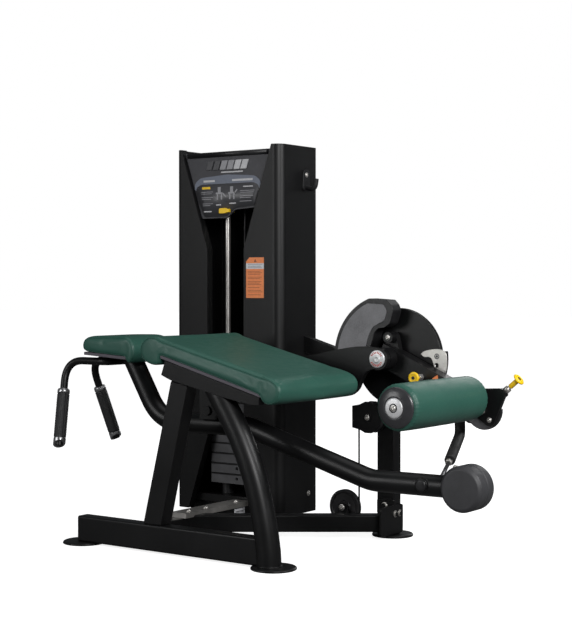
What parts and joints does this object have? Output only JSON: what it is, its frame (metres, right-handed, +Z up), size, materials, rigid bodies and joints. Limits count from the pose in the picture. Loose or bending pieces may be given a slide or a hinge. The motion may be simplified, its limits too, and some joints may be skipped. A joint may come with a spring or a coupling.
{
  "type": "lying leg curl machine",
  "caption": "Lying leg curl gym machine: green padded bench, rocking head rest, cam driven lever with roller pad, and a shrouded weight stack.",
  "frame": {"origin": "centre of the underside of the front left foot, on the floor", "axes": "+X from the head end to the roller end, +Y from the bench to the weight tower, +Z up"},
  "size_m": [1.5587, 0.878, 1.306],
  "materials": {
    "black_paint": "satin black powder coat",
    "shroud": "fine textured black",
    "green_vinyl": "satin green upholstery vinyl",
    "pad_board": "grey edge",
    "plated_steel": "bright zinc",
    "black_rubber": "matte",
    "black_plastic": "matte",
    "header_panel": "graphite",
    "grey_cover": "pebbled dark grey",
    "yellow_knob": "glossy yellow",
    "plate_iron": "grey painted iron"
  },
  "bodies": {
    "frame": {"front_frame": "black_paint", "base_frame": "black_paint", "pivot_post": "black_paint", "post_corner_bracket": "black_paint", "pad_tray": "black_paint", "rocker_pivot_pin": "plated_steel", "main_pad_board": "pad_board", "main_pad": "green_vinyl", "near_pivot_arm": "black_paint", "tower_left_shroud": "shroud", "tower_right_shroud": "shroud", "tower_base": "black_paint", "tower_top_plate": "black_paint", "tower_back_panel": "shroud", "header_panel": "header_panel", "guide_rod_left": "plated_steel", "guide_rod_right": "plated_steel", "stack_bumper_left": "black_rubber", "stack_bumper_right": "black_rubber", "rod_top_bracket": "black_paint", "weight_plate_04": "plate_iron", "weight_plate_05": "plate_iron", "weight_plate_06": "plate_iron", "weight_plate_07": "plate_iron", "weight_plate_08": "plate_iron", "upper_pulley_guard": "black_paint", "main_cable": "black_plastic", "stack_cable": "black_plastic", "pivot_axle": "plated_steel"},
    "cam": {"cam": "black_paint", "cam_hook_plate": "plated_steel"},
    "lever": {"lever_arm": "black_paint", "lever_counterweight": "grey_cover", "adjuster_sector": "plated_steel"},
    "start_pin": {"start_pin": "yellow_knob"},
    "roller_carrier": {"roller_carrier": "black_paint", "carrier_pivot_bolt": "plated_steel", "roller_axle": "plated_steel"},
    "roller_pin": {"roller_pin": "yellow_knob"},
    "roller": {"roller_pad": "green_vinyl", "roller_near_cap": "grey_cover", "roller_far_cap": "grey_cover"},
    "rocker": {"rocker_arm": "black_paint", "tail_counterweight": "grey_cover", "head_pad_board": "pad_board", "head_pad": "green_vinyl", "handle_bar": "black_paint", "grip_sleeve_near": "black_rubber", "grip_sleeve_far": "black_rubber", "lever_rest": "black_paint"},
    "lifted_stack": {"stack_head_plate": "plate_iron", "selector_rod": "plated_steel", "weight_plate_01": "plate_iron", "weight_plate_02": "plate_iron", "weight_plate_03": "plate_iron"},
    "selector_pin": {"selector_pin": "yellow_knob"},
    "floor_pulley": {"floor_pulley": "black_plastic"},
    "upper_pulley": {"upper_pulley": "black_plastic"},
    "base_pulley": {"base_pulley": "black_plastic"},
    "top_pulley": {"top_pulley": "black_plastic"}
  },
  "joints": [
    {"name": "cam_turn", "type": "hinge", "parent": "frame", "child": "cam", "pos_m": [0.8125, 0.62, 0.5957], "axis": [0, -1, 0], "range_deg": [0, 100]},
    {"name": "start_adjust", "type": "hinge", "parent": "cam", "child": "lever", "pos_m": [0.8125, 0.62, 0.5957], "axis": [0, -1, 0], "range_deg": [0, 13]},
    {"name": "start_pin_pull", "type": "slide", "parent": "lever", "child": "start_pin", "axis": [0, -1, 0], "range_m": [0, 0.012]},
    {"name": "carrier_adjust", "type": "hinge", "parent": "lever", "child": "roller_carrier", "pos_m": [1.212, 0.446, 0.458], "axis": [0, -1, 0], "range_deg": [-20, 20]},
    {"name": "roller_pin_pull", "type": "slide", "parent": "roller_carrier", "child": "roller_pin", "axis": [0.766, 0, 0.6428], "range_m": [0, 0.01]},
    {"name": "roller_spin", "type": "hinge", "parent": "roller_carrier", "child": "roller", "pos_m": [1.187, 0.19, 0.495], "axis": [0, 1, 0], "continuous": true},
    {"name": "rock", "type": "hinge", "parent": "frame", "child": "rocker", "pos_m": [0.4, 0.185, 0.436], "axis": [0, -1, 0], "range_deg": [0, 8.2]},
    {"name": "stack_lift", "type": "slide", "parent": "frame", "child": "lifted_stack", "axis": [0, 0, 1], "range_m": [0, 0.28], "deforming": ["stack_cable"]},
    {"name": "selector_pin_pull", "type": "slide", "parent": "lifted_stack", "child": "selector_pin", "axis": [0, -1, 0], "range_m": [0, 0.09]},
    {"name": "floor_pulley_spin", "type": "hinge", "parent": "frame", "child": "floor_pulley", "pos_m": [0.605, 0.62, 0.092], "axis": [0, -1, 0], "range_deg": [0, 289]},
    {"name": "upper_pulley_spin", "type": "hinge", "parent": "frame", "child": "upper_pulley", "pos_m": [0.704, 0.62, 0.3957], "axis": [0, -1, 0], "range_deg": [-346, 0]},
    {"name": "base_pulley_spin", "type": "hinge", "parent": "frame", "child": "base_pulley", "pos_m": [0.346, 0.62, 0.076], "axis": [0, -1, 0], "range_deg": [0, 409]},
    {"name": "top_pulley_spin", "type": "hinge", "parent": "frame", "child": "top_pulley", "pos_m": [0.247, 0.62, 1.19], "axis": [0, -1, 0], "range_deg": [-256, 0]}
  ],
  "couplings": [
    {"joint": "rock", "follows": "cam_turn", "ratio": 0.08},
    {"joint": "stack_lift", "follows": "cam_turn", "m_per_rad": 0.155},
    {"joint": "floor_pulley_spin", "follows": "cam_turn", "ratio": 2.8704},
    {"joint": "upper_pulley_spin", "follows": "cam_turn", "ratio": -3.4444},
    {"joint": "base_pulley_spin", "follows": "cam_turn", "ratio": 4.0789},
    {"joint": "top_pulley_spin", "follows": "cam_turn", "ratio": -2.541}
  ]
}
